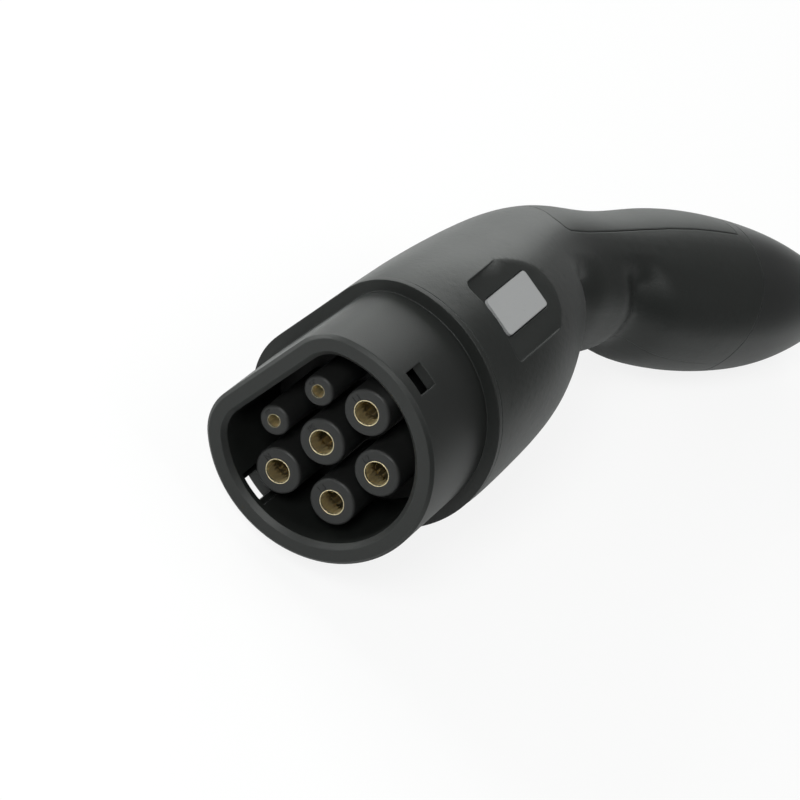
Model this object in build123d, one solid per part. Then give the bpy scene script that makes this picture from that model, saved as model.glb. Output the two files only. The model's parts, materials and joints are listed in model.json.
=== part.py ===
from build123d import *

import math
import os

# Vehicle connector of an electric car charging lead, in millimetres.
# +X is the mating direction, +Y the right side seen from the front, +Z up.
# The origin lies on the axis of the earth contact, in the plane of the rim.

# Contact pattern
pitch = 16.0                # between neighbouring power contacts
pilot_x = 8.0               # half the distance between the two pilot contacts
pilot_z = 11.0              # height of the pilot contacts over the earth contact
power_pin = 6.0             # diameter of the power pin that enters
pilot_pin = 3.0             # diameter of the pilot pin that enters
power_boss = 12.6           # tower round each power contact
pilot_boss = 8.2            # tower round each pilot contact
boss_depth = 2.9            # tower face behind the rim
boss_length = 27.0          # height of the towers over the carrier plate
plate_thick = 4.0           # carrier plate
carrier_gap = 0.15          # carrier plate to sleeve
boss_round = 0.9            # rounded edge of a tower face

# Contacts
mouth_play = 0.12           # hole in the tower face, over the pin radius
socket_wall = 1.35          # wall of a power socket
pilot_wall = 0.8            # wall of a pilot socket
socket_set = 1.6            # socket mouth behind the tower face
socket_length = 30.0        # power socket, mouth to floor
pilot_length = 24.0         # pilot socket, mouth to floor
pin_play = 0.12             # pin radius to socket bore
contact_play = 0.08         # socket to the bore of its tower
crimp_length = 15.0         # wire barrel behind the floor
floor_thick = 4.0           # solid part between bore and barrel
crown_length = 13.0         # spring crown, collar to collar
crown_wall = 0.35           # sheet thickness of the crown
crown_slats = 12            # slats round the crown
slat_gap = 0.6              # slot between two slats
crown_set = 2.5             # crown behind the socket mouth
crown_play = 0.02           # crown to its seat, on the radius
waist = 0.02                # how far the slats bow inwards
ring_length = 6.0           # spring ring of a pilot socket

# Sleeve and flange
sleeve_radius = 31.3
sleeve_flat = 23.65         # flat over the earth contact
sleeve_corner = 14.3
sleeve_low = 0.5            # centre of the round part under the earth contact
sleeve_wall = 5.4
rim_chamfer = 0.9
mouth_chamfer = 1.3
flange_back = 33.7          # rear face of the flange behind the rim
flange_thick = 1.7
flange_radius = 34.75
flange_flat = 27.1
flange_corner = 20.2
sleeve_depth = 46.0         # the sleeve reaches this far into the housing
window_front = 4.4          # lock window behind the rim
window_length = 8.0
window_height = 6.6
groove_depth = 2.4          # groove inside the sleeve behind each window
groove_extra = 1.4

# Housing
wall = 3.4
seam = 0.25                 # visible joint between two mouldings
cover_thick = 1.8
cap_gap = 0.3
entry_radius = 8.9          # cable entry in the rear cap
end_face = 10.9             # radius of the flat round the cable entry
pocket_front = 46.5
pocket_length = 40.0
pocket_top = 11.0
pocket_bottom = 13.5
pocket_plane = 31.3         # floor of the label pocket from the middle plane
label_front = 52.5
label_length = 24.0
label_height = 11.0
label_thick = 1.0
label_mid = -1.2
label_gap = 0.35
label_sink = 0.5
label_round = 1.2
pocket_round = 3.0
pocket_wall = 3.2
spigot_length = 6.0
spigot_wall = 1.2
tail_step = 1.4             # tail of the sleeve inside the housing
gasket_gap = 0.4
gasket_length = 4.0
gasket_set = 4.0            # gasket behind the front of the housing

# Fasteners
screw_shank = 1.5
screw_head = 2.8
screw_head_height = 2.0
screw_clear = 0.2
screw_seat = 14.0           # under the head, from the middle plane
screw_reach = 8.0           # past the middle plane
post_radius = 4.4

# Cable clamp
clamp_set = 38.0            # clamp in front of the rear end, along the handle
clamp_length = 10.0
clamp_pitch = 9.3
clamp_ear = 4.0
clamp_high = 9.8
clamp_reach = 7.0
grommet_length = 17.0
grommet_wall = 1.9

# Grip stations: x, z of the middle, slope, half height, half width, share of D form
stations = [
    (-flange_back - seam, -3.95, 0.0, 31.1, 34.75, 1.0),
    (-46.0, -4.1, 0.0, 31.2, 35.0, 0.92),
    (-62.0, -4.2, 0.0, 30.9, 34.5, 0.6),
    (-79.0, -4.0, 2.0, 30.0, 32.3, 0.3),
    (-97.0, -2.9, 7.0, 27.2, 28.6, 0.1),
    (-113.0, -1.9, 13.0, 23.8, 24.8, 0.0),
    (-128.0, -2.9, 20.0, 20.8, 21.8, 0.0),
    (-144.0, -8.6, 24.0, 19.3, 20.0, 0.0),
    (-159.5, -15.6, 25.0, 20.4, 19.3, 0.0),
    (-175.5, -23.2, 25.0, 22.9, 19.0, 0.0),
    (-190.0, -30.0, 25.0, 23.8, 19.0, 0.0),
    (-204.5, -36.8, 25.0, 23.2, 18.7, 0.0),
    (-218.0, -43.2, 25.0, 21.4, 18.0, 0.0),
    (-231.0, -49.3, 25.0, 18.4, 16.4, 0.0),
    (-241.5, -54.2, 25.0, 15.0, 14.1, 0.0),
    (-252.0, -59.1, 25.0, end_face, end_face, 0.0),
]
section_points = 24
section_power = 2.25

# Direction that points up when the connector lies on its left side
rest_up = (0.0548, 0.982, 0.1806)

os.makedirs("parts", exist_ok=True)


def d_radius(angle: float, radius: float, flat: float, corner: float) -> float:
    """Distance from the centre of a D outline to its edge at an angle."""
    z_fillet = flat - corner
    y_fillet = math.sqrt(max((radius - corner) ** 2 - z_fillet**2, 0.0))
    a = math.asin(math.sin(angle))
    low = math.atan2(z_fillet, y_fillet)
    high = math.atan2(flat, y_fillet)
    if a <= low:
        return radius
    if a >= high:
        return flat / math.sin(a)
    along = y_fillet * math.cos(a) + z_fillet * math.sin(a)
    across = y_fillet**2 + z_fillet**2 - along**2
    return along + math.sqrt(max(corner**2 - across, 0.0))


def d_sketch(radius: float, flat: float, corner: float, drop: float) -> Sketch:
    """Round face with a flat at the top and rounded corners, in the local frame."""
    z_fillet = flat + drop - corner
    y_fillet = math.sqrt((radius - corner) ** 2 - z_fillet**2)
    tilt = math.atan2(z_fillet, y_fillet)
    right = (radius * math.cos(tilt), radius * math.sin(tilt) - drop)
    left = (-right[0], right[1])
    middle = math.pi / 4 + tilt / 2
    arc_mid = (y_fillet + corner * math.cos(middle), z_fillet - drop + corner * math.sin(middle))
    outline = Wire([
        ThreePointArc(left, (0, -radius - drop), right),
        ThreePointArc(right, arc_mid, (y_fillet, flat)),
        Line((y_fillet, flat), (-y_fillet, flat)),
        ThreePointArc((-y_fillet, flat), (-arc_mid[0], arc_mid[1]), left),
    ])
    return Sketch() + make_face(outline)


def front_plane(x: float) -> Plane:
    """Plane across the mating axis, local x to +Y and local y to +Z."""
    return Plane(origin=(x, 0, 0), x_dir=(0, 1, 0), z_dir=(1, 0, 0))


def d_block(radius: float, flat: float, corner: float, drop: float, x0: float, x1: float) -> Part:
    """D shaped block from x0 forward to x1."""
    face = front_plane(x0) * d_sketch(radius, flat, corner, drop)
    return Part() + extrude(face, amount=x1 - x0)


def rod(radius: float, y: float, z: float, x0: float, x1: float) -> Part:
    """Round rod along the mating axis from x0 forward to x1."""
    return Part() + extrude(front_plane(x0) * Pos(y, z) * Circle(radius), amount=x1 - x0)


def block(x0: float, x1: float, y0: float, y1: float, z0: float, z1: float) -> Part:
    """Box between two corners."""
    middle = Pos((x0 + x1) / 2, (y0 + y1) / 2, (z0 + z1) / 2)
    return Part() + middle * Box(abs(x1 - x0), abs(y1 - y0), abs(z1 - z0))


def power_places() -> dict[str, tuple[float, float]]:
    """Places of the five power contacts."""
    drop = pitch * math.sin(math.radians(60))
    return {
        "l1": (pitch, 0.0),
        "l2": (pitch / 2, -drop),
        "l3": (-pitch / 2, -drop),
        "n": (-pitch, 0.0),
        "pe": (0.0, 0.0),
    }


def pilot_places() -> dict[str, tuple[float, float]]:
    """Places of the two pilot contacts."""
    return {"cp": (pilot_x, pilot_z), "pp": (-pilot_x, pilot_z)}


def station_plane(station: tuple) -> Plane:
    """Plane across the grip at a station."""
    slope = math.radians(station[2])
    return Plane(
        origin=(station[0], 0, station[1]),
        x_dir=(0, 1, 0),
        z_dir=(math.cos(slope), 0, math.sin(slope)),
    )


def station_face(station: tuple, inset: float) -> Face:
    """Cross section of the housing at a station, moved inwards by an inset."""
    _, _, _, high, wide, share = station
    points = []
    for k in range(section_points):
        a = 2 * math.pi * (k + 0.5) / section_points
        oval = (
            abs(math.cos(a) / wide) ** section_power + abs(math.sin(a) / high) ** section_power
        ) ** (-1 / section_power)
        y = oval * math.cos(a)
        z = oval * math.sin(a)
        if share > 0:
            d = d_radius(a, flange_radius, flange_flat, flange_corner)
            scale = wide / flange_radius
            y = share * d * math.cos(a) * scale + (1 - share) * y
            z = share * (d * math.sin(a) * scale - sleeve_low - station[1]) + (1 - share) * z
        reach = math.hypot(y, z)
        points.append((y * (1 - inset / reach), z * (1 - inset / reach)))
    outline = Spline(*[Vector(*p) for p in points], periodic=True)
    return station_plane(station) * make_face(outline).faces()[0]


def housing_body(inset: float, first: int = 0, last: int | None = None) -> Part:
    """Outer form of the housing moved inwards by an inset."""
    chosen = stations[first:last]
    return Part() + loft([station_face(s, inset) for s in chosen])


def side_prism(points: list[tuple[float, float]], y0: float, y1: float) -> Part:
    """Block with a side view given by x, z points."""
    plane = Plane(origin=(0, y0, 0), x_dir=(1, 0, 0), z_dir=(0, -1, 0))
    face = plane * make_face(Polyline(*points, close=True))
    return Part() + extrude(face, amount=-(y1 - y0))


def handle_point(back: float, up: float) -> tuple[float, float]:
    """Point in the side view, from the last station along and across the grip."""
    x, z, slope = stations[-1][:3]
    a = math.radians(slope)
    return (x + back * math.cos(a) - up * math.sin(a), z + back * math.sin(a) + up * math.cos(a))


def handle_plane(back: float) -> Plane:
    """Plane across the grip, a distance in front of the last station."""
    x, z = handle_point(back, 0.0)
    a = math.radians(stations[-1][2])
    return Plane(origin=(x, 0, z), x_dir=(0, 1, 0), z_dir=(math.cos(a), 0, math.sin(a)))


def cap_cut(gap: float) -> Part:
    """Region behind the slanting seam of the rear cap."""
    top = (-222.0 - gap, -8.0)
    low = (-176.0 - gap, -60.0)
    mid = (-206.0 - gap, -43.0)
    edge = Spline(top, mid, low)
    rest = Polyline(low, (-176.0 - gap, -110.0), (-300.0, -110.0), (-300.0, -8.0), top)
    plane = Plane(origin=(0, -60, 0), x_dir=(1, 0, 0), z_dir=(0, -1, 0))
    face = plane * make_face(Wire([edge] + list(rest.edges())))
    return Part() + extrude(face, amount=-120)


def cover_outline(gap: float) -> list[tuple[float, float]]:
    """Side view of the grip cover, moved inwards by a gap."""
    low = [(-124.0, 3.4), (-133.0, 0.2), (-144.0, -3.2), (-161.0, -8.6),
           (-178.0, -14.4), (-190.0, -19.2), (-201.0, -24.2), (-210.5, -28.8)]
    low = [(x, z + gap) for x, z in low]
    return (
        [(-132.0 - gap, 60.0), (-127.0 - gap, 17.0), (-122.4 - gap, 9.0), (-122.4 - gap, 5.2)]
        + low
        + [(-211.6 + gap, -27.6), (-222.0 + gap, -6.0), (-222.0 + gap, 60.0)]
    )


def front_shell() -> Part:
    """D sleeve with its flange, lock windows and inner grooves."""
    sleeve = d_block(sleeve_radius, sleeve_flat, sleeve_corner, sleeve_low, -sleeve_depth, 0)
    front = sleeve.faces().sort_by(Axis.X)[-1]
    sleeve = chamfer(front.edges(), rim_chamfer)
    flange = d_block(flange_radius, flange_flat, flange_corner, sleeve_low,
                     -flange_back, -flange_back + flange_thick)
    inner = d_block(sleeve_radius - sleeve_wall, sleeve_flat - sleeve_wall,
                    sleeve_corner - sleeve_wall, sleeve_low, -sleeve_depth - 1, 1)
    mouth = loft([
        face for x, grow in ((-mouth_chamfer, 0.0), (0.01, mouth_chamfer))
        for face in (front_plane(x) * d_sketch(
            sleeve_radius - sleeve_wall + grow, sleeve_flat - sleeve_wall + grow,
            sleeve_corner - sleeve_wall + grow, sleeve_low)).faces()
    ])
    tail = d_block(sleeve_radius + 1, sleeve_flat + 1, sleeve_corner + 1, sleeve_low,
                   -sleeve_depth - 1, -flange_back - seam)
    tail -= d_block(sleeve_radius - tail_step, sleeve_flat - tail_step, sleeve_corner - tail_step,
                    sleeve_low, -sleeve_depth - 2, 0)
    shell = sleeve + flange - inner - mouth - tail
    high = window_height / 2
    for side in (-1, 1):
        shell -= block(-window_front - window_length, -window_front,
                       side * (sleeve_radius - 12), side * (sleeve_radius + 2),
                       -sleeve_low - high, -sleeve_low + high)
        shell -= block(-window_front - window_length - 12, -window_front + groove_extra,
                       side * (sleeve_radius - 12), side * (sleeve_radius - sleeve_wall + groove_depth),
                       -sleeve_low - high - groove_extra, -sleeve_low + high + groove_extra)
    return Part() + shell


def contact_carrier() -> Part:
    """Plate with the seven towers, bored for the contacts."""
    back = -boss_depth - boss_length
    plate = d_block(sleeve_radius - sleeve_wall - carrier_gap, sleeve_flat - sleeve_wall - carrier_gap,
                    sleeve_corner - sleeve_wall - carrier_gap, sleeve_low, back - plate_thick, back)
    carrier = plate
    for y, z in power_places().values():
        tower = rod(power_boss / 2, y, z, back - 0.5, -boss_depth)
        rim = tower.faces().sort_by(Axis.X)[-1].edges()
        carrier += fillet(rim, boss_round)
    for y, z in pilot_places().values():
        tower = rod(pilot_boss / 2, y, z, back - 0.5, -boss_depth)
        rim = tower.faces().sort_by(Axis.X)[-1].edges()
        carrier += fillet(rim, boss_round)
    for y, z in power_places().values():
        carrier -= rod(power_pin / 2 + mouth_play, y, z, back - 9, 1)
        carrier -= rod(power_pin / 2 + pin_play + socket_wall + contact_play, y, z,
                       back - 9, -boss_depth - socket_set)
    for y, z in pilot_places().values():
        carrier -= rod(pilot_pin / 2 + mouth_play, y, z, back - 9, 1)
        carrier -= rod(pilot_pin / 2 + pin_play + pilot_wall + contact_play, y, z,
                       back - 9, -boss_depth - socket_set)
    return Part() + carrier


def power_socket(y: float, z: float) -> Part:
    """Turned socket contact with a seat for its spring crown and a wire barrel."""
    bore = power_pin / 2 + pin_play
    outer = bore + socket_wall
    mouth = -boss_depth - socket_set
    floor = mouth - socket_length
    end = floor - floor_thick - crimp_length
    body = rod(outer, y, z, end, mouth)
    body -= rod(bore, y, z, floor, mouth + 1)
    body -= rod(bore + crown_wall, y, z, mouth - crown_set - crown_length, mouth - crown_set)
    body -= rod(outer - 1.0, y, z, end - 1, end + crimp_length)
    return Part() + body


def crown_spring(y: float, z: float) -> Part:
    """Slotted spring crown with slats that bow towards the pin."""
    bore = power_pin / 2 + pin_play
    front = -boss_depth - socket_set - crown_set - 0.15
    back = front - crown_length + 0.3
    outer = bore + crown_wall - crown_play
    middle = (front + back) / 2
    collar = 1.4
    profile = Wire([
        Line((front, outer), (front, bore)),
        Line((front, bore), (front - collar, bore)),
        ThreePointArc((front - collar, bore), (middle, bore - waist),
                      (back + collar, bore)),
        Line((back + collar, bore), (back, bore)),
        Line((back, bore), (back, outer)),
        Line((back, outer), (back + collar, outer)),
        ThreePointArc((back + collar, outer), (middle, outer - waist), (front - collar, outer)),
        Line((front - collar, outer), (front, outer)),
    ])
    face = Plane.XZ * make_face(profile)
    ring = Part() + revolve(face, Axis.X, 360)
    slot = Box(front - back - 2 * collar, slat_gap, 3 * outer)
    for k in range(crown_slats // 2):
        ring -= Pos(middle, 0, 0) * Rot(180.0 / (crown_slats // 2) * k, 0, 0) * slot
    return Part() + Pos(0, y, z) * ring


def pilot_socket(y: float, z: float) -> Part:
    """Slotted pilot socket with a seat for its spring ring and a wire barrel."""
    bore = pilot_pin / 2 + pin_play
    outer = bore + pilot_wall
    mouth = -boss_depth - socket_set
    floor = mouth - pilot_length
    end = floor - floor_thick - crimp_length
    body = rod(outer, y, z, end, mouth)
    body -= rod(bore, y, z, floor, mouth + 1)
    body -= block(floor + 6, mouth + 1, y - 0.3, y + 0.3, z - outer - 1, z + outer + 1)
    body -= rod(outer + 1, y, z, mouth - 8, mouth - 8 + ring_length) - rod(
        outer - 0.4, y, z, mouth - 9, mouth + 1)
    body -= rod(outer - 0.7, y, z, end - 1, end + crimp_length - 4)
    return Part() + body


def pilot_ring(y: float, z: float) -> Part:
    """Open spring ring round a pilot socket."""
    outer = pilot_pin / 2 + pin_play + pilot_wall
    front = -boss_depth - socket_set - 2.1
    back = front - ring_length + 0.2
    ring = rod(outer, y, z, back, front) - rod(outer - 0.38, y, z, back - 1, front + 1)
    ring -= block(back - 1, front + 1, y, y + 4, z - 0.35, z + 0.35)
    return Part() + ring


def retainer() -> Part:
    """Plate behind the carrier that locks the contacts."""
    front = -boss_depth - boss_length - plate_thick
    plate = d_block(sleeve_radius - sleeve_wall - carrier_gap, sleeve_flat - sleeve_wall - carrier_gap,
                    sleeve_corner - sleeve_wall - carrier_gap, sleeve_low, front - 5.0, front)
    for y, z in power_places().values():
        plate -= rod(power_pin / 2 + pin_play + socket_wall + contact_play, y, z, front - 9, front + 1)
    for y, z in pilot_places().values():
        plate -= rod(pilot_pin / 2 + pin_play + pilot_wall + contact_play, y, z, front - 9, front + 1)
    return Part() + plate


def screw_places() -> list[tuple[float, float]]:
    """Side view places of the screws that join the housing halves."""
    return [(-60.0, 19.0), (-60.0, -24.0), (-118.0, -10.0), (-183.0, -36.0)]


def y_rod(radius: float, x: float, z: float, y0: float, y1: float) -> Part:
    """Round rod across the housing from y0 to y1."""
    plane = Plane(origin=(x, y0, z), x_dir=(1, 0, 0), z_dir=(0, 1, 0))
    return Part() + extrude(plane * Circle(radius), amount=y1 - y0)


def label_pocket() -> Part:
    """Open pocket on the right side with a shallow recess for the label plate."""
    x_mid = -pocket_front - pocket_length / 2
    z_mid = (pocket_top - pocket_bottom) / 2
    room = Pos(x_mid, pocket_plane + 15, z_mid) * Box(pocket_length, 30, pocket_top + pocket_bottom)
    room = fillet(room.edges().filter_by(Axis.Y), pocket_round)
    recess = Pos(-label_front - label_length / 2, pocket_plane, label_mid) * Box(
        label_length + 2 * label_gap, 2 * label_sink, label_height + 2 * label_gap)
    recess = fillet(recess.edges().filter_by(Axis.Y), label_round + label_gap)
    return Part() + room + recess


def label_plate() -> Part:
    """Bare plate in the recess of the pocket."""
    y_mid = pocket_plane - label_sink + label_thick / 2
    plate = Pos(-label_front - label_length / 2, y_mid, label_mid) * Box(
        label_length, label_thick, label_height)
    return Part() + fillet(plate.edges().filter_by(Axis.Y), label_round)


def housing_shell() -> Part:
    """Hollow housing with screw posts, cover seat, label pocket and no cap."""
    outer = housing_body(0.0)
    shell = outer - housing_body(wall)
    pad = block(-pocket_front - pocket_length, -pocket_front - 2, pocket_plane - pocket_wall,
                pocket_plane + 3, -pocket_bottom - pocket_wall, pocket_top + pocket_wall)
    extra = pad
    for x, z in screw_places():
        extra += y_rod(post_radius, x, z, -60, 60)
    shell += extra & outer
    shell -= label_pocket()
    shell -= side_prism(cover_outline(0.0), -60, 60) - housing_body(cover_thick + carrier_gap)
    shell -= cap_cut(0.0)
    for x, z in screw_places():
        shell -= y_rod(screw_shank + screw_clear, x, z, -60, 0)
        shell -= y_rod(screw_shank + 0.05, x, z, -1, screw_reach + 1)
        shell -= y_rod(screw_head + screw_clear, x, z, -60, -screw_seat)
    return Part() + shell


def housing_half(shell: Part, side: int) -> Part:
    """Right or left half of the housing."""
    room = block(-320, 10, 0, side * 80, -120, 80)
    return Part() + (shell & room)


def housing_screws() -> Part:
    """Screws that join the housing halves, set from the left side."""
    screws = Part()
    for x, z in screw_places():
        screws += y_rod(screw_shank, x, z, -screw_seat, screw_reach)
        head = y_rod(screw_head, x, z, -screw_seat - screw_head_height, -screw_seat)
        screws += head - y_rod(1.2, x, z, -screw_seat - screw_head_height - 1,
                               -screw_seat - screw_head_height + 1.2)
    return screws


def grip_cover() -> Part:
    """Inlaid cover along the top of the grip."""
    prism = side_prism(cover_outline(seam), -60, 60)
    return Part() + ((prism & housing_body(0.0)) - housing_body(cover_thick))


def handle_rod(radius: float, back0: float, back1: float, up: float = 0.0) -> Part:
    """Round rod along the grip between two distances in front of the last station."""
    plane = handle_plane(back0)
    return Part() + extrude(plane * Pos(0, up) * Circle(radius), amount=back1 - back0)


def handle_slab(back0: float, back1: float, up0: float, up1: float, half: float) -> Part:
    """Slab across the grip between two distances in front of the last station."""
    plane = handle_plane(back0)
    face = plane * Pos(0, (up0 + up1) / 2) * Rectangle(2 * half, up1 - up0)
    return Part() + extrude(face, amount=back1 - back0)


def rear_cap() -> Part:
    """Rear cap with a spigot into the housing and the cable entry."""
    outer = housing_body(0.0) & cap_cut(cap_gap)
    spigot = housing_body(wall + carrier_gap) & cap_cut(-spigot_length)
    cap = outer + spigot - housing_body(wall + spigot_wall)
    cap += handle_rod(entry_radius + 2, 0, grommet_length) & housing_body(1.0)
    return Part() + (cap - handle_rod(entry_radius, -2, grommet_length + 12))


def cable_grommet() -> Part:
    """Rubber bush in the cable entry with a collar inside the cap."""
    bush = handle_rod(entry_radius - carrier_gap, 0.5, grommet_length)
    bush += handle_rod(entry_radius + 1.2, grommet_length, grommet_length + 2)
    return Part() + (bush - handle_rod(entry_radius - grommet_wall, -2, grommet_length + 3))


def clamp_lower() -> Part:
    """Lower half of the cable clamp, filling the lower part of the grip."""
    slab = handle_slab(clamp_set, clamp_set + clamp_length, -40, -0.6, 40)
    body = slab & housing_body(wall + spigot_wall + seam)
    body -= handle_rod(entry_radius - grommet_wall, clamp_set - 1, clamp_set + clamp_length + 1)
    for y in (-clamp_pitch, clamp_pitch):
        body -= clamp_bore(y, screw_shank + 0.05, -clamp_reach - 1, 1)
    return Part() + body


def clamp_upper() -> Part:
    """Upper half of the cable clamp."""
    body = handle_slab(clamp_set, clamp_set + clamp_length, 0.6, clamp_high,
                       clamp_pitch - screw_head - screw_clear + 2.4)
    body += handle_slab(clamp_set, clamp_set + clamp_length, 0.6, clamp_ear,
                        clamp_pitch + screw_head + 0.4)
    body = body & housing_body(wall + spigot_wall + seam)
    body -= handle_rod(entry_radius - grommet_wall, clamp_set - 1, clamp_set + clamp_length + 1)
    for y in (-clamp_pitch, clamp_pitch):
        body -= clamp_bore(y, screw_shank + screw_clear, -1, clamp_ear + 1)
        body -= clamp_bore(y, screw_head + screw_clear, clamp_ear, clamp_high + 1)
    return Part() + body


def clamp_bore(y: float, radius: float, up0: float, up1: float) -> Part:
    """Rod across the clamp at a distance from the middle plane."""
    x, z = handle_point(clamp_set + clamp_length / 2, up0)
    a = math.radians(stations[-1][2])
    plane = Plane(origin=(x, y, z), x_dir=(0, 1, 0), z_dir=(-math.sin(a), 0, math.cos(a)))
    return Part() + extrude(plane * Circle(radius), amount=up1 - up0)


def clamp_screws() -> Part:
    """Two screws that close the cable clamp."""
    screws = Part()
    for y in (-clamp_pitch, clamp_pitch):
        screws += clamp_bore(y, screw_shank, -clamp_reach, clamp_ear)
        screws += clamp_bore(y, screw_head, clamp_ear, clamp_ear + screw_head_height)
    return screws


def front_gasket() -> Part:
    """Seal between the tail of the sleeve and the housing."""
    x1 = -flange_back - seam - gasket_set
    inset = wall + gasket_gap
    ring = d_block(flange_radius - inset, flange_flat - inset, flange_corner - inset,
                   sleeve_low, x1 - gasket_length, x1)
    hole = d_block(sleeve_radius - tail_step + 0.05, sleeve_flat - tail_step + 0.05,
                   sleeve_corner - tail_step, sleeve_low, x1 - gasket_length - 1, x1 + 1)
    return Part() + (ring - hole)


def build() -> dict[str, Part]:
    """All pieces by node name."""
    parts: dict[str, Part] = {}
    parts["front_shell"] = front_shell()
    parts["contact_carrier"] = contact_carrier()
    for name, (y, z) in power_places().items():
        parts[f"{name}_socket"] = power_socket(y, z)
        parts[f"{name}_spring"] = crown_spring(y, z)
    for name, (y, z) in pilot_places().items():
        parts[f"{name}_socket"] = pilot_socket(y, z)
        parts[f"{name}_ring"] = pilot_ring(y, z)
    parts["contact_retainer"] = retainer()
    parts["front_gasket"] = front_gasket()
    shell = housing_shell()
    parts["housing_right"] = housing_half(shell, 1)
    parts["housing_left"] = housing_half(shell, -1)
    parts["housing_screws"] = housing_screws()
    parts["grip_cover"] = grip_cover()
    parts["rear_cap"] = rear_cap()
    parts["label_plate"] = label_plate()
    parts["cable_grommet"] = cable_grommet()
    parts["clamp_lower"] = clamp_lower()
    parts["clamp_upper"] = clamp_upper()
    parts["clamp_screws"] = clamp_screws()
    return parts


def laid_down(parts: dict[str, Part]) -> dict[str, Part]:
    """All pieces as the connector lies at rest, over the middle of its footprint."""
    up = Vector(*rest_up).normalized()
    ahead = (Vector(1, 0, 0) - up * up.X).normalized()
    plane = Plane(origin=(0, 0, 0), x_dir=ahead, z_dir=up)
    turned = {name: plane.to_local_coords(solid) for name, solid in parts.items()}
    boxes = [solid.bounding_box() for solid in turned.values()]
    low = [min(getattr(b.min, k) for b in boxes) for k in "XYZ"]
    high = [max(getattr(b.max, k) for b in boxes) for k in "XYZ"]
    shift = Pos(-(low[0] + high[0]) / 2, -(low[1] + high[1]) / 2, -low[2])
    print("moved by", shift.position)
    return {name: shift * solid for name, solid in turned.items()}


if __name__ == "__main__":
    for node, solid in laid_down(build()).items():
        export_step(solid, f"parts/{node}.step")
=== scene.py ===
"""A vehicle charging connector lying on its left side on a pale floor.

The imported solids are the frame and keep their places. This file shades them, sinks the finger
hollows into the grip with a modifier, adds the plated rims and the raised terminal marks of the
contact towers, and makes the floor, the lamps, the world and the camera.
"""

import json
import logging
import math
from dataclasses import dataclass, field
from enum import Enum

import bpy
import numpy as np
from mathutils import Matrix, Vector

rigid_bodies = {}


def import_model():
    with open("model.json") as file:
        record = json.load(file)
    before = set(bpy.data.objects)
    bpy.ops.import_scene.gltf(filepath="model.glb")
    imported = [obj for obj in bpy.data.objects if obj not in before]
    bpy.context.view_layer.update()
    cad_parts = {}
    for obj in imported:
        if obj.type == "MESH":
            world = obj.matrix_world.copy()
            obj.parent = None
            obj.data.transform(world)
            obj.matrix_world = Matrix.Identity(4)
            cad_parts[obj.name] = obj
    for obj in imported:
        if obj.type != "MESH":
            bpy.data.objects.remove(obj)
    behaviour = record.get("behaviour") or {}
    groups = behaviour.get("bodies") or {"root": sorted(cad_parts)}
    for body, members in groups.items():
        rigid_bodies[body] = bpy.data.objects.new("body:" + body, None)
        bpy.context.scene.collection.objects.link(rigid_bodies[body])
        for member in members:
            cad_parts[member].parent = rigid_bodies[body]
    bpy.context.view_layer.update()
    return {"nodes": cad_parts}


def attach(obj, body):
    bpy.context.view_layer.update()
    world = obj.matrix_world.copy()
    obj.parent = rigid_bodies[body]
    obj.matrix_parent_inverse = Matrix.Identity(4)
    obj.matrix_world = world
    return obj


LOG = logging.getLogger("connector")
MM = 0.001
DUST_COLOUR = (0.30, 0.29, 0.27, 1.0)


class Side(Enum):
    """Which way a lamp stands from the object, in the camera's right, up and back directions."""

    ABOVE_LEFT = (-0.62, 0.95, 0.10)
    LOW_RIGHT = (1.00, 0.30, 0.55)
    BEHIND = (0.25, 0.85, -0.55)
    FRONT = (-0.12, 0.16, 1.00)


class Pattern(Enum):
    """Surface pattern of a metal."""

    TURNED = "turned"
    ROLLED = "rolled"


@dataclass(frozen=True)
class Placement:
    """Takes points of the connector's own frame to the row frame.

    The connector's frame has X the way it is pushed in, Y to the right seen from the front and Z
    up in use. The row frame has Z up as it lies on its left side.
    """

    up: tuple[float, float, float] = (0.0548, 0.982, 0.1806)
    shift: tuple[float, float, float] = (127.061, -19.4436, 38.2618)

    def turn(self) -> np.ndarray:
        """Rows of the turn, worked out from the direction that points up.

        Returns:
            A 3 by 3 array R, so that row = R @ own.
        """
        up = np.array(self.up) / np.linalg.norm(self.up)
        ahead = np.array([1.0, 0.0, 0.0]) - up * up[0]
        ahead /= np.linalg.norm(ahead)
        return np.array([ahead, np.cross(up, ahead), up])

    def points(self, own: np.ndarray) -> np.ndarray:
        """Points in millimetres of the own frame, as metres of the row frame.

        Args:
            own: N by 3 array.

        Returns:
            N by 3 array.
        """
        return (own @ self.turn().T + np.array(self.shift)) * MM

    def direction(self, own: tuple[float, float, float]) -> Vector:
        """A direction of the own frame in the row frame."""
        return Vector(self.turn() @ np.array(own))


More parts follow.
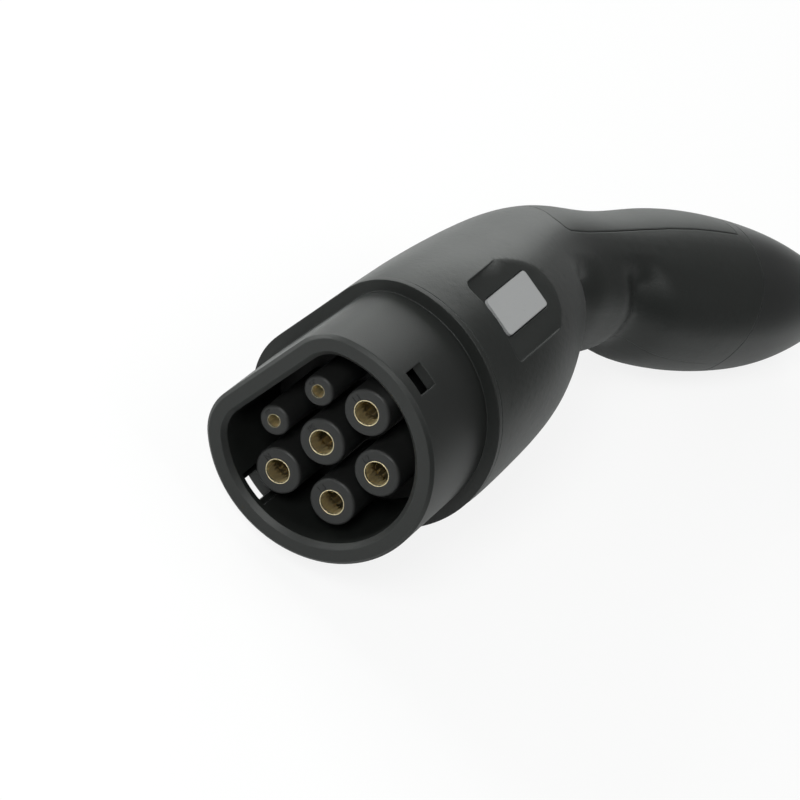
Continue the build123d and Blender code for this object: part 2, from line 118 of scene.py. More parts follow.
@dataclass(frozen=True)
class MouldedPlastic:
    """Near-black moulded plastic with a fine grain, rounded edges, light wear and dust."""

    name: str
    colour: tuple[float, float, float]
    worn: tuple[float, float, float]
    roughness: float
    grain_scale: float
    grain_depth: float
    mottle: float = 0.08
    edge: float = 0.00045
    dust: float = 0.022
    specular: float = 0.42

    def material(self, groups: "EffectGroups") -> bpy.types.Material:
        """Builds the material.

        Args:
            groups: The shared effects.

        Returns:
            The finished material.
        """
        mat, tree, shader = new_material(self.name)
        grain = place_group(tree, groups.grain, {"Scale": self.grain_scale})
        edge = place_group(tree, groups.edge, {"Radius": self.edge, "Gain": 5.0})
        dust = place_group(tree, groups.dust, {"Amount": self.dust})
        rough = place_group(
            tree, groups.unevenness, {"Middle": self.roughness, "Spread": self.mottle}
        )
        worn = mix_colour(tree, edge.outputs["Mask"], rgb(self.colour), rgb(self.worn))
        fleck = mix_colour(tree, grain.outputs["Fleck"], worn, rgb(self.worn))
        final = mix_colour(tree, dust.outputs["Mask"], fleck, DUST_COLOUR)
        tree.links.new(final, shader.inputs["Base Color"])
        tree.links.new(rough.outputs["Roughness"], shader.inputs["Roughness"])
        bump = tree.nodes.new("ShaderNodeBump")
        bump.inputs["Strength"].default_value = 1.0
        bump.inputs["Distance"].default_value = self.grain_depth
        tree.links.new(grain.outputs["Height"], bump.inputs["Height"])
        tree.links.new(edge.outputs["Normal"], bump.inputs["Normal"])
        tree.links.new(bump.outputs["Normal"], shader.inputs["Normal"])
        shader.inputs["Specular IOR Level"].default_value = self.specular
        return mat


@dataclass(frozen=True)
class PlatedMetal:
    """Plated contact metal with turning lines or a rolled grain, and a little tarnish."""

    name: str
    colour: tuple[float, float, float]
    tarnish: tuple[float, float, float]
    roughness: float
    pattern: Pattern
    lines: float = 2200.0
    depth: float = 0.00002

    def material(self, groups: "EffectGroups") -> bpy.types.Material:
        """Builds the material.

        Args:
            groups: The shared effects.

        Returns:
            The finished material.
        """
        mat, tree, shader = new_material(self.name)
        grain = place_group(tree, groups.grain, {"Scale": self.lines * 0.4})
        rough = place_group(
            tree, groups.unevenness, {"Middle": self.roughness, "Spread": 0.12}
        )
        edge = place_group(tree, groups.edge, {"Radius": 0.00015, "Gain": 3.0})
        colour = mix_colour(tree, rough.outputs["Patch"], rgb(self.colour), rgb(self.tarnish))
        tree.links.new(colour, shader.inputs["Base Color"])
        tree.links.new(rough.outputs["Roughness"], shader.inputs["Roughness"])
        height = grain.outputs["Height"]
        if self.pattern is Pattern.TURNED:
            coord = tree.nodes.new("ShaderNodeTexCoord")
            wave = tree.nodes.new("ShaderNodeTexWave")
            wave.bands_direction = "X"
            wave.inputs["Scale"].default_value = self.lines
            wave.inputs["Distortion"].default_value = 1.5
            tree.links.new(coord.outputs["Object"], wave.inputs["Vector"])
            height = wave.outputs["Fac"]
        bump = tree.nodes.new("ShaderNodeBump")
        bump.inputs["Strength"].default_value = 0.6
        bump.inputs["Distance"].default_value = self.depth
        tree.links.new(height, bump.inputs["Height"])
        tree.links.new(edge.outputs["Normal"], bump.inputs["Normal"])
        tree.links.new(bump.outputs["Normal"], shader.inputs["Normal"])
        shader.inputs["Metallic"].default_value = 1.0
        return mat


def rgb(colour: tuple[float, float, float]) -> tuple[float, float, float, float]:
    """The colour with full opacity."""
    return (*colour, 1.0)


def new_material(
    name: str,
) -> tuple[bpy.types.Material, bpy.types.NodeTree, bpy.types.Node]:
    """Makes an empty material with a Principled shader wired to its output.

    Args:
        name: The material's name.

    Returns:
        The material, its tree and the shader node.
    """
    mat = bpy.data.materials.new(name)
    mat.use_nodes = True
    tree = mat.node_tree
    shader = next(n for n in tree.nodes if n.type == "BSDF_PRINCIPLED")
    return mat, tree, shader


def place_group(
    tree: bpy.types.NodeTree, group: bpy.types.NodeTree, values: dict[str, float]
) -> bpy.types.Node:
    """Puts a shared effect into a material with its own values.

    Args:
        tree: The material's tree.
        group: The effect.
        values: Input name to value.

    Returns:
        The group node.
    """
    node = tree.nodes.new("ShaderNodeGroup")
    node.node_tree = group
    for key, value in values.items():
        node.inputs[key].default_value = value
    return node


def maths(
    tree: bpy.types.NodeTree,
    operation: str,
    a: bpy.types.NodeSocket | float,
    b: bpy.types.NodeSocket | float | None = None,
) -> bpy.types.NodeSocket:
    """One Math node on two sockets or numbers.

    Args:
        tree: The tree to work in.
        operation: The node's operation.
        a: First socket or number.
        b: Second socket or number, or nothing for an operation on one value.

    Returns:
        The node's output.
    """
    node = tree.nodes.new("ShaderNodeMath")
    node.operation = operation
    for value, socket in ((a, node.inputs[0]), (b, node.inputs[1])):
        if isinstance(value, bpy.types.NodeSocket):
            tree.links.new(value, socket)
        elif value is not None:
            socket.default_value = value
    return node.outputs[0]


def mix_colour(
    tree: bpy.types.NodeTree,
    factor: bpy.types.NodeSocket,
    first: bpy.types.NodeSocket | tuple[float, float, float, float],
    second: bpy.types.NodeSocket | tuple[float, float, float, float],
) -> bpy.types.NodeSocket:
    """Mixes two colours by a mask.

    Args:
        tree: The tree to work in.
        factor: Socket of the mask.
        first: Colour or socket where the mask is 0.
        second: Colour or socket where the mask is 1.

    Returns:
        The socket of the mixed colour.
    """
    node = tree.nodes.new("ShaderNodeMix")
    node.data_type = "RGBA"
    tree.links.new(factor, node.inputs["Factor"])
    for value, socket in ((first, node.inputs[6]), (second, node.inputs[7])):
        if isinstance(value, bpy.types.NodeSocket):
            tree.links.new(value, socket)
        else:
            socket.default_value = value
    return node.outputs[2]


@dataclass
class EffectGroups:
    """The effects that several materials share, each built once as a node group."""

    grain: bpy.types.NodeTree = field(init=False)
    edge: bpy.types.NodeTree = field(init=False)
    dust: bpy.types.NodeTree = field(init=False)
    unevenness: bpy.types.NodeTree = field(init=False)

    def __post_init__(self) -> None:
        """Builds the four groups."""
        self.grain = self._grain()
        self.edge = self._edge()
        self.dust = self._dust()
        self.unevenness = self._unevenness()

    @staticmethod
    def _group(
        name: str, inputs: dict[str, float], outputs: dict[str, str]
    ) -> tuple[bpy.types.NodeTree, bpy.types.Node, bpy.types.Node]:
        """Makes an empty group with named sockets.

        Args:
            name: The group's name.
            inputs: Input name to default value.
            outputs: Output name to socket type.

        Returns:
            The tree, its input node and its output node.
        """
        tree = bpy.data.node_groups.new(name, "ShaderNodeTree")
        for key, value in inputs.items():
            socket = tree.interface.new_socket(key, in_out="INPUT", socket_type="NodeSocketFloat")
            socket.default_value = value
        for key, kind in outputs.items():
            tree.interface.new_socket(key, in_out="OUTPUT", socket_type=kind)
        return tree, tree.nodes.new("NodeGroupInput"), tree.nodes.new("NodeGroupOutput")

    def _grain(self) -> bpy.types.NodeTree:
        """Spark-eroded mould grain: cells with finer noise on them, and sparse pale flecks."""
        tree, start, end = self._group(
            "mould_grain",
            {"Scale": 2500.0},
            {"Height": "NodeSocketFloat", "Fleck": "NodeSocketFloat"},
        )
        coord = tree.nodes.new("ShaderNodeTexCoord")
        cells = tree.nodes.new("ShaderNodeTexVoronoi")
        noise = tree.nodes.new("ShaderNodeTexNoise")
        noise.inputs["Detail"].default_value = 3.0
        for node in (cells, noise):
            tree.links.new(coord.outputs["Object"], node.inputs["Vector"])
            tree.links.new(start.outputs["Scale"], node.inputs["Scale"])
        height = maths(tree, "ADD", cells.outputs["Distance"], noise.outputs["Fac"])
        tree.links.new(maths(tree, "MULTIPLY", height, 0.5), end.inputs["Height"])
        fleck = maths(tree, "SUBTRACT", noise.outputs["Fac"], 0.62)
        tree.links.new(maths(tree, "MAXIMUM", fleck, 0.0), end.inputs["Fleck"])
        return tree

    def _edge(self) -> bpy.types.NodeTree:
        """Rounded normal at sharp edges, and a mask of where that rounding turns the surface."""
        tree, start, end = self._group(
            "edge_rounding",
            {"Radius": 0.0004, "Gain": 4.0},
            {"Normal": "NodeSocketVector", "Mask": "NodeSocketFloat"},
        )
        bevel = tree.nodes.new("ShaderNodeBevel")
        bevel.samples = 4
        geometry = tree.nodes.new("ShaderNodeNewGeometry")
        dot = tree.nodes.new("ShaderNodeVectorMath")
        dot.operation = "DOT_PRODUCT"
        tree.links.new(start.outputs["Radius"], bevel.inputs["Radius"])
        tree.links.new(bevel.outputs["Normal"], dot.inputs[0])
        tree.links.new(geometry.outputs["Normal"], dot.inputs[1])
        turned = maths(tree, "SUBTRACT", 1.0, dot.outputs["Value"])
        gained = maths(tree, "MULTIPLY", turned, start.outputs["Gain"])
        capped = maths(tree, "MINIMUM", gained, 0.6)
        tree.links.new(maths(tree, "MAXIMUM", capped, 0.0), end.inputs["Mask"])
        tree.links.new(bevel.outputs["Normal"], end.inputs["Normal"])
        return tree

    def _dust(self) -> bpy.types.NodeTree:
        """Fine dust: broken noise, thicker on surfaces that face up."""
        tree, start, end = self._group(
            "settled_dust", {"Amount": 0.05}, {"Mask": "NodeSocketFloat"}
        )
        coord = tree.nodes.new("ShaderNodeTexCoord")
        noise = tree.nodes.new("ShaderNodeTexNoise")
        noise.inputs["Scale"].default_value = 60.0
        noise.inputs["Detail"].default_value = 8.0
        noise.inputs["Roughness"].default_value = 0.75
        tree.links.new(coord.outputs["Object"], noise.inputs["Vector"])
        geometry = tree.nodes.new("ShaderNodeNewGeometry")
        split = tree.nodes.new("ShaderNodeSeparateXYZ")
        tree.links.new(geometry.outputs["Normal"], split.inputs["Vector"])
        facing = maths(tree, "MULTIPLY_ADD", split.outputs["Z"], 0.4)
        facing.node.inputs[2].default_value = 0.6
        cloud = maths(tree, "MULTIPLY", noise.outputs["Fac"], facing)
        tree.links.new(
            maths(tree, "MULTIPLY", cloud, start.outputs["Amount"]), end.inputs["Mask"]
        )
        return tree

    def _unevenness(self) -> bpy.types.NodeTree:
        """Roughness that wanders about its middle value, and a soft patch mask."""
        tree, start, end = self._group(
            "handled_surface",
            {"Middle": 0.45, "Spread": 0.08},
            {"Roughness": "NodeSocketFloat", "Patch": "NodeSocketFloat"},
        )
        coord = tree.nodes.new("ShaderNodeTexCoord")
        noise = tree.nodes.new("ShaderNodeTexNoise")
        noise.inputs["Scale"].default_value = 35.0
        noise.inputs["Detail"].default_value = 5.0
        tree.links.new(coord.outputs["Object"], noise.inputs["Vector"])
        centred = maths(tree, "SUBTRACT", noise.outputs["Fac"], 0.5)
        spread = maths(tree, "MULTIPLY", centred, start.outputs["Spread"])
        tree.links.new(
            maths(tree, "ADD", spread, start.outputs["Middle"]), end.inputs["Roughness"]
        )
        patch = maths(tree, "SUBTRACT", noise.outputs["Fac"], 0.45)
        doubled = maths(tree, "MULTIPLY", patch, 2.0)
        tree.links.new(maths(tree, "MAXIMUM", doubled, 0.0), end.inputs["Patch"])
        return tree


SLEEVE = MouldedPlastic(
    "sleeve_satin", (0.0052, 0.0062, 0.0057), (0.024, 0.027, 0.025), 0.47, 2600.0, 0.00003
)
CARRIER = MouldedPlastic(
    "carrier_satin", (0.0065, 0.0068, 0.0068), (0.040, 0.042, 0.042), 0.50, 2600.0, 0.00002
)
HOUSING = MouldedPlastic(
    "housing_grain", (0.0058, 0.0074, 0.0066), (0.020, 0.024, 0.022), 0.43, 2300.0, 0.00004
)
COVER = MouldedPlastic(
    "cover_grain",
    (0.0090, 0.0110, 0.0100),
    (0.001, 0.001, 0.001),
    0.47,
    2100.0,
    0.00005,
    edge=0.0011,
)
CAP = MouldedPlastic(
    "cap_grain", (0.0075, 0.0085, 0.0085), (0.024, 0.027, 0.026), 0.42, 2300.0, 0.00004
)
CLAMP = MouldedPlastic(
    "clamp_moulding", (0.06, 0.06, 0.06), (0.12, 0.12, 0.12), 0.55, 1800.0, 0.00003
)
RUBBER = MouldedPlastic(
    "seal_rubber", (0.014, 0.014, 0.014), (0.03, 0.03, 0.03), 0.70, 1500.0, 0.00003, dust=0.10
)
MARK = MouldedPlastic(
    "mark_plastic",
    (0.002, 0.002, 0.002),
    (0.012, 0.012, 0.012),
    0.40,
    2600.0,
    0.00001,
    edge=0.00005,
)
PLATE = MouldedPlastic(
    "plate_plastic", (0.36, 0.36, 0.365), (0.03, 0.03, 0.03), 0.36, 1800.0, 0.00001, dust=0.03
)
CONTACT = PlatedMetal(
    "contact_plating", (0.97, 0.84, 0.54), (0.86, 0.72, 0.42), 0.48, Pattern.TURNED
)
SPRING = PlatedMetal(
    "spring_plating", (0.93, 0.83, 0.60), (0.76, 0.65, 0.42), 0.30, Pattern.ROLLED
)
STEEL = PlatedMetal(
    "zinc_steel", (0.56, 0.56, 0.57), (0.42, 0.42, 0.43), 0.34, Pattern.ROLLED
)


@dataclass
class FingerHollows:
    """Two soft hollows under the grip, sunk by a modifier into the solids that cross them.

    At each point the depth is the sum of one bell curve exp(-((x - m) / s)^2) for each hollow,
    times a smooth step that is 1 on the underside and 0 above the middle of the grip. The point
    moves by that depth straight towards the middle line, so inner and outer walls move together.
    """

    middles: tuple[float, float] = (-119.0, -150.0)
    spread: float = 6.5
    depth: float = 4.0
    line_x: tuple[float, float] = (-108.0, -175.5)
    line_z: tuple[float, float] = (-1.0, -23.2)
    half_height: float = 21.0
    full_below: float = -0.34
    none_above: float = 0.10
    place: Placement = field(default_factory=Placement)

    def group(self) -> bpy.types.NodeTree:
        """Builds the modifier's node tree.

        Returns:
            A geometry tree that welds, divides, sinks and smooths a mesh.
        """
        tree, geometry, end = smoothing_tree("finger_hollows", divide=1)
        position = tree.nodes.new("GeometryNodeInputPosition")
        turn = self.place.turn()
        shift = np.array(self.place.shift)
        own = []
        for axis in range(3):
            node = tree.nodes.new("ShaderNodeVectorMath")
            node.operation = "DOT_PRODUCT"
            node.inputs[1].default_value = tuple(turn[:, axis] / MM)
            tree.links.new(position.outputs[0], node.inputs[0])
            own.append(maths(tree, "SUBTRACT", node.outputs["Value"], float(turn[:, axis] @ shift)))
        x, y, z = own
        fall = tree.nodes.new("ShaderNodeMapRange")
        for key, value in zip(
            ("From Min", "From Max", "To Min", "To Max"), (*self.line_x, *self.line_z)
        ):
            fall.inputs[key].default_value = value
        tree.links.new(x, fall.inputs["Value"])
        rise = maths(tree, "SUBTRACT", z, fall.outputs["Result"])
        share = tree.nodes.new("ShaderNodeMapRange")
        share.interpolation_type = "SMOOTHSTEP"
        for key, value in zip(
            ("From Min", "From Max", "To Min", "To Max"),
            (
                self.full_below * self.half_height,
                self.none_above * self.half_height,
                self.depth * MM,
                0.0,
            ),
        ):
            share.inputs[key].default_value = value
        tree.links.new(rise, share.inputs["Value"])
        waves = 0.0
        for middle in self.middles:
            step = maths(tree, "DIVIDE", maths(tree, "SUBTRACT", x, middle), self.spread)
            square = maths(tree, "MULTIPLY", maths(tree, "MULTIPLY", step, step), -1.0)
            waves = maths(tree, "ADD", maths(tree, "EXPONENT", square), waves)
        amount = maths(tree, "MULTIPLY", share.outputs["Result"], waves)
        inward = self._inward(tree, turn, y, rise)
        scale = tree.nodes.new("ShaderNodeVectorMath")
        scale.operation = "SCALE"
        tree.links.new(inward, scale.inputs[0])
        tree.links.new(amount, scale.inputs["Scale"])
        move = tree.nodes.new("GeometryNodeSetPosition")
        tree.links.new(geometry, move.inputs["Geometry"])
        tree.links.new(scale.outputs[0], move.inputs["Offset"])
        tree.links.new(move.outputs[0], end)
        return tree

    @staticmethod
    def _inward(
        tree: bpy.types.NodeTree,
        turn: np.ndarray,
        y: bpy.types.NodeSocket,
        rise: bpy.types.NodeSocket,
    ) -> bpy.types.NodeSocket:
        """Unit direction towards the middle line, in the row frame.

        Args:
            tree: The tree to work in.
            turn: The turn from the own frame.
            y: Distance to the side.
            rise: Height over the middle line.

        Returns:
            The direction's socket.
        """
        parts = []
        for axis, value in ((1, y), (2, rise)):
            node = tree.nodes.new("ShaderNodeVectorMath")
            node.operation = "SCALE"
            node.inputs[0].default_value = tuple(-turn[:, axis])
            tree.links.new(value, node.inputs["Scale"])
            parts.append(node.outputs[0])
        total = tree.nodes.new("ShaderNodeVectorMath")
        total.operation = "ADD"
        unit = tree.nodes.new("ShaderNodeVectorMath")
        unit.operation = "NORMALIZE"
        tree.links.new(parts[0], total.inputs[0])
        tree.links.new(parts[1], total.inputs[1])
        tree.links.new(total.outputs[0], unit.inputs[0])
        return unit.outputs[0]


def smoothing_tree(
    name: str, divide: int, angle: float = 32.0
) -> tuple[bpy.types.NodeTree, bpy.types.NodeSocket, bpy.types.NodeSocket]:
    """Starts a geometry tree that joins loose triangles and shades flat angles smooth.

    Args:
        name: The tree's name.
        divide: How many times each face is divided.
        angle: Edges sharper than this, in degrees, stay sharp.

    Returns:
        The tree, the welded geometry's socket and the socket that the shaped geometry goes into.
    """
    tree = bpy.data.node_groups.new(name, "GeometryNodeTree")
    tree.interface.new_socket("Geometry", in_out="INPUT", socket_type="NodeSocketGeometry")
    tree.interface.new_socket("Geometry", in_out="OUTPUT", socket_type="NodeSocketGeometry")
    start = tree.nodes.new("NodeGroupInput")
    end = tree.nodes.new("NodeGroupOutput")
    weld = tree.nodes.new("GeometryNodeMergeByDistance")
    weld.inputs["Distance"].default_value = 0.000002
    plain = tree.nodes.new("GeometryNodeRemoveAttribute")
    plain.inputs["Name"].default_value = "custom_normal"
    tree.links.new(start.outputs[0], weld.inputs["Geometry"])
    tree.links.new(weld.outputs[0], plain.inputs["Geometry"])
    shaped = plain.outputs[0]
    if divide:
        more = tree.nodes.new("GeometryNodeSubdivideMesh")
        more.inputs["Level"].default_value = divide
        tree.links.new(shaped, more.inputs["Mesh"])
        shaped = more.outputs[0]
    faces = tree.nodes.new("GeometryNodeSetShadeSmooth")
    faces.domain = "FACE"
    edges = tree.nodes.new("GeometryNodeSetShadeSmooth")
    edges.domain = "EDGE"
    bend = tree.nodes.new("GeometryNodeInputMeshEdgeAngle")
    sharp = tree.nodes.new("FunctionNodeCompare")
    sharp.operation = "GREATER_THAN"
    sharp.inputs[1].default_value = math.radians(angle)
    tree.links.new(bend.outputs[0], sharp.inputs[0])
    tree.links.new(sharp.outputs[0], edges.inputs["Selection"])
    edges.inputs["Shade Smooth"].default_value = False
    tree.links.new(faces.outputs[0], edges.inputs[0])
    tree.links.new(edges.outputs[0], end.inputs[0])
    return tree, shaped, faces.inputs[0]


@dataclass
class ConnectorBody:
    """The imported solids: a finish for each, smooth shading, and the finger hollows."""

    nodes: dict[str, bpy.types.Object]
    groups: EffectGroups
    sunk: tuple[str, ...] = ("housing_right", "housing_left", "housing_screws")

    def finishes(self) -> dict[str, MouldedPlastic | PlatedMetal]:
        """Finish of each node.

        Returns:
            Node name to finish.
        """
        named = {
            "front_shell": SLEEVE,
            "contact_carrier": CARRIER,
            "contact_retainer": CLAMP,
            "front_gasket": RUBBER,
            "housing_right": HOUSING,
            "housing_left": HOUSING,
            "housing_screws": STEEL,
            "grip_cover": COVER,
            "rear_cap": CAP,
            "label_plate": PLATE,
            "cable_grommet": RUBBER,
            "clamp_lower": CLAMP,
            "clamp_upper": CLAMP,
            "clamp_screws": STEEL,
        }
        ends = {"_socket": CONTACT, "_spring": SPRING, "_ring": STEEL}
        for node in self.nodes:
            for end, finish in ends.items():
                if node.endswith(end):
                    named[node] = finish
        return named

    def dress(self) -> None:
        """Gives each node its material and its smoothing modifier."""
        plain, shaped, end = smoothing_tree("joined_and_smooth", divide=0)
        plain.links.new(shaped, end)
        hollows = FingerHollows().group()
        made: dict[str, bpy.types.Material] = {}
        for node, finish in self.finishes().items():
            if finish.name not in made:
                made[finish.name] = finish.material(self.groups)
            obj = self.nodes[node]
            obj.data.materials.clear()
            obj.data.materials.append(made[finish.name])
            shading = obj.modifiers.new("surface", "NODES")
            shading.node_group = hollows if node in self.sunk else plain
            LOG.info("node %s has the finish %s", node, finish.name)


@dataclass(frozen=True)
class TowerPlaces:
    """Where the contact towers stand: five at the pitch round the middle one, and two pilots."""

    pitch: float = 16.0
    pilot_side: float = 8.0
    pilot_up: float = 11.0

    def power(self) -> dict[str, tuple[float, float]]:
        """Name of each power contact to its tower's y and z."""
        low = -self.pitch * math.sin(math.radians(60))
        return {
            "l1": (self.pitch, 0.0),
            "l2": (self.pitch / 2, low),
            "l3": (-self.pitch / 2, low),
            "n": (-self.pitch, 0.0),
            "pe": (0.0, 0.0),
        }

    def pilot(self) -> dict[str, tuple[float, float]]:
        """Name of each pilot contact to its tower's y and z."""
        return {
            "cp": (self.pilot_side, self.pilot_up),
            "pp": (-self.pilot_side, self.pilot_up),
        }


@dataclass
class ContactRims:
    """Plated rims in the mouths of the towers, with the slats of the contact at their edge.

    A profile of points (x, r) is turned round the tower's axis. On its inner stretch the radius
    dips by a share of |sin(n a / 2)|, a the angle round the axis and n the number of slats, which
    leaves a shallow groove between two slats.
    """

    groups: EffectGroups
    face: float = -2.9
    bore: float = 3.12
    pilot_bore: float = 1.62
    rim_width: float = 0.26
    proud: float = 0.07
    length: float = 5.2
    groove: float = 0.05
    around: int = 144
    slats: int = 18
    place: Placement = field(default_factory=Placement)

    def towers(self) -> dict[str, tuple[float, float, float]]:
        """Name to the tower's y and z and its bore radius."""
        places = TowerPlaces()
        result = {k: (*v, self.bore) for k, v in places.power().items()}
        result.update({k: (*v, self.pilot_bore) for k, v in places.pilot().items()})
        return result

    def profile(self, bore: float) -> tuple[np.ndarray, np.ndarray]:
        """Closed profile of a rim, from the back of the bore over the lip and back behind it.

        Args:
            bore: Radius of the hole that the rim lines.

        Returns:
            The points (x, r), and how much of the groove each point takes.
        """
        width = self.rim_width * bore / self.bore
        skin = 0.012
        points = np.array(
            [
                (self.face - self.length, bore - 0.045),
                (self.face - 1.5, bore - 0.045),
                (self.face - 0.35, bore - 0.035),
                (self.face - 0.02, bore + 0.06),
                (self.face + self.proud, bore + 0.45 * width),
                (self.face + 0.8 * self.proud, bore + 0.8 * width),
                (self.face + skin, bore + width),
                (self.face - 0.02, bore + width),
                (self.face - 0.02, bore + skin),
                (self.face - self.length, bore - skin),
            ]
        )
        share = np.array([1.0, 1.0, 0.9, 0.7, 0.3, 0.0, 0.0, 0.0, 0.0, 0.0])
        return points, share

    def build(self) -> None:
        """Makes every rim in its place."""
        material = CONTACT.material(self.groups)
        for name, (y, z, bore) in self.towers().items():
            points, share = self.profile(bore)
            angle = 2 * math.pi * np.arange(self.around) / self.around
            dip = self.groove * np.abs(np.sin(self.slats * angle / 2)) - self.groove
            radius = points[:, 1][:, None] + share[:, None] * (dip[None, :] + 0.03)
            own = np.stack(
                [
                    np.broadcast_to(points[:, 0][:, None], radius.shape),
                    y + radius * np.cos(angle)[None, :],
                    z + radius * np.sin(angle)[None, :],
                ],
                axis=2,
            ).reshape(-1, 3)
            rows, cols = radius.shape
            i, j = np.meshgrid(np.arange(rows), np.arange(cols), indexing="ij")
            k, m = (i + 1) % rows, (j + 1) % cols
            quads = np.stack([i * cols + j, i * cols + m, k * cols + m, k * cols + j], axis=2)
            mesh = bpy.data.meshes.new(f"rim_{name}")
            mesh.from_pydata(self.place.points(own).tolist(), [], quads.reshape(-1, 4).tolist())
            mesh.shade_smooth()
            mesh.materials.append(material)
            obj = bpy.data.objects.new(f"rim_{name}", mesh)
            bpy.context.scene.collection.objects.link(obj)
            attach(obj, "root")
            LOG.info("piece %s lines its tower", obj.name)


@dataclass
class TerminalMarks:
    """Raised generic terminal letters on the faces of the contact towers."""

    groups: EffectGroups
    face: float = -2.9
    proud: float = 0.10
    sunk: float = 0.05
    capital: float = 0.70
    power_height: float = 1.7
    power_rise: float = 4.35
    pilot_height: float = 1.15
    pilot_rise: float = 2.65
    place: Placement = field(default_factory=Placement)

    def towers(self) -> dict[str, tuple[float, float, float, float]]:
        """Where each mark stands.

        Returns:
            Letters to the tower's y and z, the letter height and its rise over the middle.
        """
        places = TowerPlaces()
        result = {
            k.upper(): (*v, self.power_height, self.power_rise) for k, v in places.power().items()
        }
        for name, spot in places.pilot().items():
            result[name.upper()] = (*spot, self.pilot_height, self.pilot_rise)
        return result

    def build(self) -> None:
        """Makes every mark as a mesh in its place."""
        material = MARK.material(self.groups)
        for letters, (y, z, height, rise) in self.towers().items():
            obj = self._letters(letters, y, z + rise, height)
            obj.data.materials.append(material)
            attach(obj, "root")
            LOG.info("piece %s stands on its tower", obj.name)

    def _letters(self, letters: str, y: float, z: float, height: float) -> bpy.types.Object:
        """Letters as a mesh: the text's x runs to the right, its y up and its depth forwards.

        Args:
            letters: What the mark says.
            y: Middle of the mark, to the right.
            z: Middle of the mark, upwards.
            height: Letter height.

        Returns:
            The mark's object.
        """
        curve = bpy.data.curves.new("letters", "FONT")
        curve.body = letters
        curve.size = height / self.capital
        curve.extrude = 0.5
        text = bpy.data.objects.new("letters", curve)
        bpy.context.scene.collection.objects.link(text)
        bpy.context.view_layer.update()
        mesh = bpy.data.meshes.new_from_object(
            text.evaluated_get(bpy.context.evaluated_depsgraph_get())
        )
        bpy.data.objects.remove(text)
        flat = np.zeros(len(mesh.vertices) * 3)
        mesh.vertices.foreach_get("co", flat)
        flat = flat.reshape(-1, 3)
        middle = (flat.max(0) + flat.min(0)) / 2
        front = np.where(flat[:, 2] > 0, self.face + self.proud, self.face - self.sunk)
        own = np.column_stack([front, y + flat[:, 0] - middle[0], z + flat[:, 1] - middle[1]])
        mesh.vertices.foreach_set("co", self.place.points(own).astype(np.float32).ravel())
        mesh.update()
        obj = bpy.data.objects.new(f"mark_{letters.lower()}", mesh)
        bpy.context.scene.collection.objects.link(obj)
        return obj


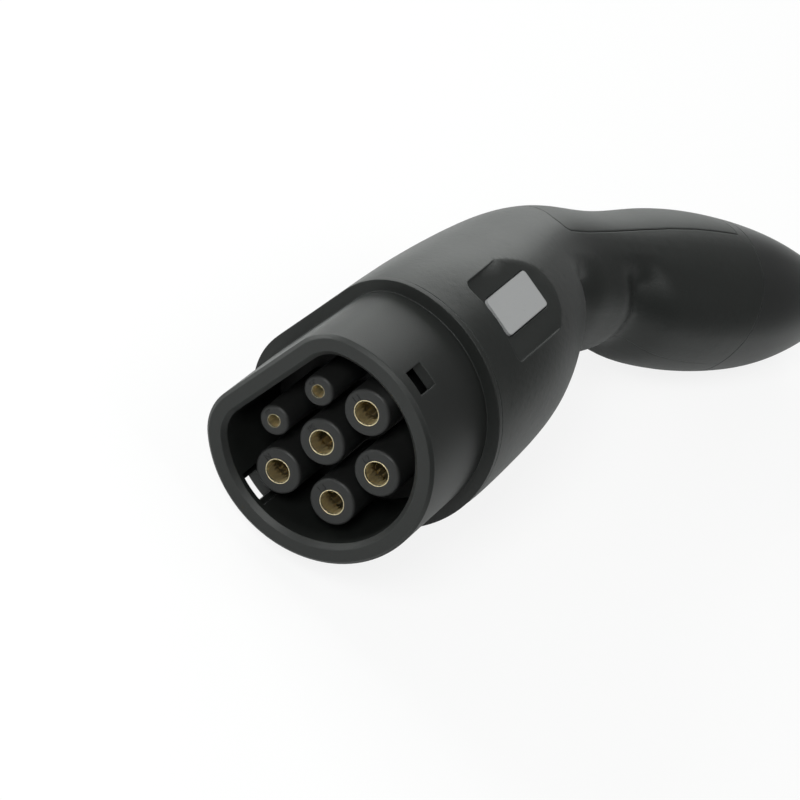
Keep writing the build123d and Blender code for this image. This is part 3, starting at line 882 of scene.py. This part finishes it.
@dataclass
class Studio:
    """Pale floor, soft lamps, white world and the camera at the photographed angle."""

    place: Placement = field(default_factory=Placement)
    right: tuple[float, float, float] = (-0.42988855, 0.69608942, -0.5750264)
    up: tuple[float, float, float] = (-0.35718953, 0.45380463, 0.81638042)
    back: tuple[float, float, float] = (0.82922341, 0.55634601, 0.05355044)
    eye: tuple[float, float, float] = (733.35, 520.25, 45.78)
    lens: float = 164.68
    floor_half: float = 4.0
    floor_grey: float = 0.90
    floor_glow: float = 0.84
    world_level: float = 0.17
    aim: tuple[float, float, float] = (0.02, 0.0, 0.035)
    tint: tuple[float, float, float] = (0.97, 1.0, 0.98)
    lamps: tuple[tuple[Side, float, float, float], ...] = (
        (Side.ABOVE_LEFT, 1.1, 0.8, 16.5),
        (Side.LOW_RIGHT, 1.3, 0.8, 4.5),
        (Side.BEHIND, 1.2, 0.9, 5.0),
        (Side.FRONT, 1.2, 0.30, 8.5),
    )

    def axes(self) -> tuple[Vector, Vector, Vector]:
        """The camera's right, up and back directions in the row frame."""
        return tuple(self.place.direction(d) for d in (self.right, self.up, self.back))

    def camera(self) -> None:
        """Sets the camera."""
        data = bpy.data.cameras.new("view")
        data.sensor_width = 36.0
        data.lens = self.lens
        data.clip_start = 0.05
        data.clip_end = 30.0
        obj = bpy.data.objects.new("view", data)
        right, up, back = self.axes()
        spot = Vector(self.place.points(np.array([self.eye]))[0])
        turn = Matrix((right, up, back)).transposed().to_4x4()
        obj.matrix_world = Matrix.Translation(spot) @ turn
        bpy.context.scene.collection.objects.link(obj)
        bpy.context.scene.camera = obj

    def floor(self) -> None:
        """A flat pale square under the object.

        Its points are the four corners (+-h, +-h, 0).
        """
        h = self.floor_half
        corners = np.array([[-h, -h, 0], [h, -h, 0], [h, h, 0], [-h, h, 0]])
        mesh = bpy.data.meshes.new("floor")
        mesh.from_pydata(corners.tolist(), [], [(0, 1, 2, 3)])
        obj = bpy.data.objects.new("floor", mesh)
        bpy.context.scene.collection.objects.link(obj)
        mat, tree, shader = new_material("floor_paper")
        shader.inputs["Base Color"].default_value = rgb((self.floor_grey,) * 3)
        shader.inputs["Roughness"].default_value = 0.9
        shader.inputs["Specular IOR Level"].default_value = 0.0
        glow = tree.nodes.new("ShaderNodeEmission")
        glow.inputs["Color"].default_value = (1.0, 1.0, 1.0, 1.0)
        seen = tree.nodes.new("ShaderNodeLightPath")
        part = maths(tree, "MULTIPLY", seen.outputs["Is Camera Ray"], self.floor_glow)
        mix = tree.nodes.new("ShaderNodeMixShader")
        tree.links.new(part, mix.inputs[0])
        tree.links.new(shader.outputs[0], mix.inputs[1])
        tree.links.new(glow.outputs[0], mix.inputs[2])
        out = next(n for n in tree.nodes if n.type == "OUTPUT_MATERIAL")
        tree.links.new(mix.outputs[0], out.inputs["Surface"])
        mesh.materials.append(mat)

    def light(self) -> None:
        """Soft square lamps round the object, in the camera's own directions."""
        right, up, back = self.axes()
        middle = Vector(self.aim)
        for side, far, size, watts in self.lamps:
            a, b, c = side.value
            way = (right * a + up * b + back * c).normalized()
            data = bpy.data.lights.new(side.name.lower(), "AREA")
            data.shape = "SQUARE"
            data.size = size
            data.energy = watts
            data.color = self.tint
            obj = bpy.data.objects.new(side.name.lower(), data)
            obj.location = middle + way * far
            obj.rotation_mode = "QUATERNION"
            obj.rotation_quaternion = way.to_track_quat("Z", "Y")
            bpy.context.scene.collection.objects.link(obj)

    def world(self) -> None:
        """Even pale light, white where the camera sees it."""
        world = bpy.data.worlds.new("studio")
        world.use_nodes = True
        tree = world.node_tree
        shade = next(n for n in tree.nodes if n.type == "BACKGROUND")
        seen = tree.nodes.new("ShaderNodeLightPath")
        shade.inputs["Color"].default_value = (1.0, 1.0, 1.0, 1.0)
        level = tree.nodes.new("ShaderNodeMapRange")
        level.inputs["To Min"].default_value = self.world_level
        level.inputs["To Max"].default_value = 1.0
        tree.links.new(seen.outputs["Is Camera Ray"], level.inputs["Value"])
        tree.links.new(level.outputs["Result"], shade.inputs["Strength"])
        bpy.context.scene.world = world
        bpy.context.scene.view_settings.view_transform = "Standard"

    def build(self) -> None:
        """Makes the whole studio."""
        self.floor()
        self.light()
        self.world()
        self.camera()


def main() -> None:
    """Builds the scene in order."""
    logging.basicConfig(level=logging.INFO, format="%(name)s: %(message)s")
    for old in list(bpy.data.objects):
        bpy.data.objects.remove(old)
    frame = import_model()
    groups = EffectGroups()
    ConnectorBody(frame["nodes"], groups).dress()
    ContactRims(groups).build()
    TerminalMarks(groups).build()
    Studio().build()
    LOG.info("the scene is complete")


if __name__ == "__main__":
    main()
